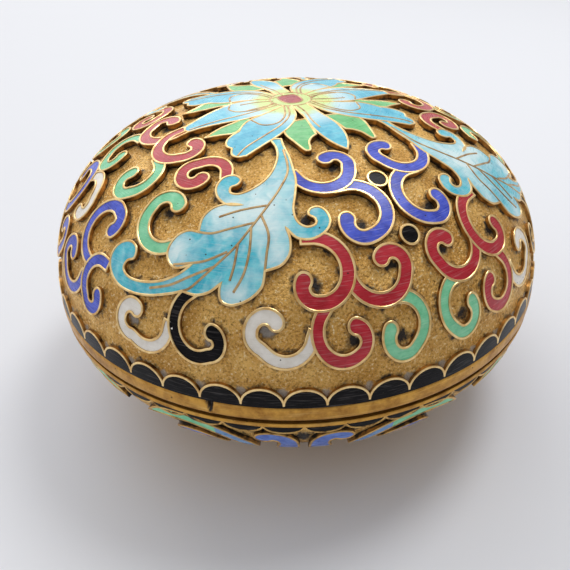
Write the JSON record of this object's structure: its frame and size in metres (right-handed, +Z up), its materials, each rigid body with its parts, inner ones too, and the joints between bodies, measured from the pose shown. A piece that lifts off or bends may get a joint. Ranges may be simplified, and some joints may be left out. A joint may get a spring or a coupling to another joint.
{
  "type": "cloisonne enamel box",
  "caption": "Round cloisonne enamel trinket box on a foot ring, with a high domed lid that lifts off, and raised cells of flower, leaves and scrolls on gilt ground.",
  "frame": {"origin": "centre of the foot ring's underside", "axes": "+Z up along the box's axis; the flower's mirror axis through the two dots lies along Y, with a pair of dots at -Y"},
  "size_m": [0.076, 0.076, 0.0464],
  "materials": {
    "gilt_rim": "smooth gilt copper, rubbed, with brown tarnish",
    "gilt_ground": "sandy gilt copper, matt, with dirt in its pits",
    "enamel_turquoise": "ground flush and polished, clouded with white",
    "enamel_blue": "ground flush and polished",
    "enamel_red": "ground flush and polished",
    "enamel_green": "ground flush and polished",
    "enamel_white": "ground flush and polished",
    "enamel_black": "ground flush and polished, pitted"
  },
  "bodies": {
    "root": {"base_band": "gilt_rim", "base_shell": "gilt_ground", "foot_ring": "gilt_rim", "lid_band": "gilt_rim", "lid_black_back_left": "enamel_black", "lid_black_back_right": "enamel_black", "lid_black_front_left": "enamel_black", "lid_black_front_right": "enamel_black", "lid_blue_pair_back_left": "enamel_blue", "lid_blue_pair_back_right": "enamel_blue", "lid_blue_pair_front_left": "enamel_blue", "lid_blue_pair_front_right": "enamel_blue", "lid_blue_spray_back_left": "enamel_blue", "lid_blue_spray_back_right": "enamel_blue", "lid_blue_spray_front_left": "enamel_blue", "lid_blue_spray_front_right": "enamel_blue", "lid_border": "enamel_black", "lid_dot_back_1": "enamel_black", "lid_dot_back_2": "enamel_black", "lid_dot_front_1": "enamel_black", "lid_dot_front_2": "enamel_black", "lid_flower": "enamel_turquoise", "lid_green_front_back_left": "enamel_green", "lid_green_front_back_right": "enamel_green", "lid_green_front_front_left": "enamel_green", "lid_green_front_front_right": "enamel_green", "lid_green_leaf_back_left": "enamel_green", "lid_green_leaf_back_right": "enamel_green", "lid_green_leaf_front_left": "enamel_green", "lid_green_leaf_front_right": "enamel_green", "lid_green_side_back_left": "enamel_green", "lid_green_side_back_right": "enamel_green", "lid_green_side_front_left": "enamel_green", "lid_green_side_front_right": "enamel_green", "lid_leaf_back_left": "enamel_turquoise", "lid_leaf_back_right": "enamel_turquoise", "lid_leaf_front_left": "enamel_turquoise", "lid_leaf_front_right": "enamel_turquoise", "lid_red_pair_back_left": "enamel_red", "lid_red_pair_back_right": "enamel_red", "lid_red_pair_front_left": "enamel_red", "lid_red_pair_front_right": "enamel_red", "lid_red_spray_back_left": "enamel_red", "lid_red_spray_back_right": "enamel_red", "lid_red_spray_front_left": "enamel_red", "lid_red_spray_front_right": "enamel_red", "lid_shell": "gilt_ground", "lid_white_front_back_left": "enamel_white", "lid_white_front_back_right": "enamel_white", "lid_white_front_front_left": "enamel_white", "lid_white_front_front_right": "enamel_white", "lid_white_left": "enamel_white", "lid_white_right": "enamel_white", "lid_white_side_back_left": "enamel_white", "lid_white_side_back_right": "enamel_white", "lid_white_side_front_left": "enamel_white", "lid_white_side_front_right": "enamel_white"}
  },
  "joints": []
}
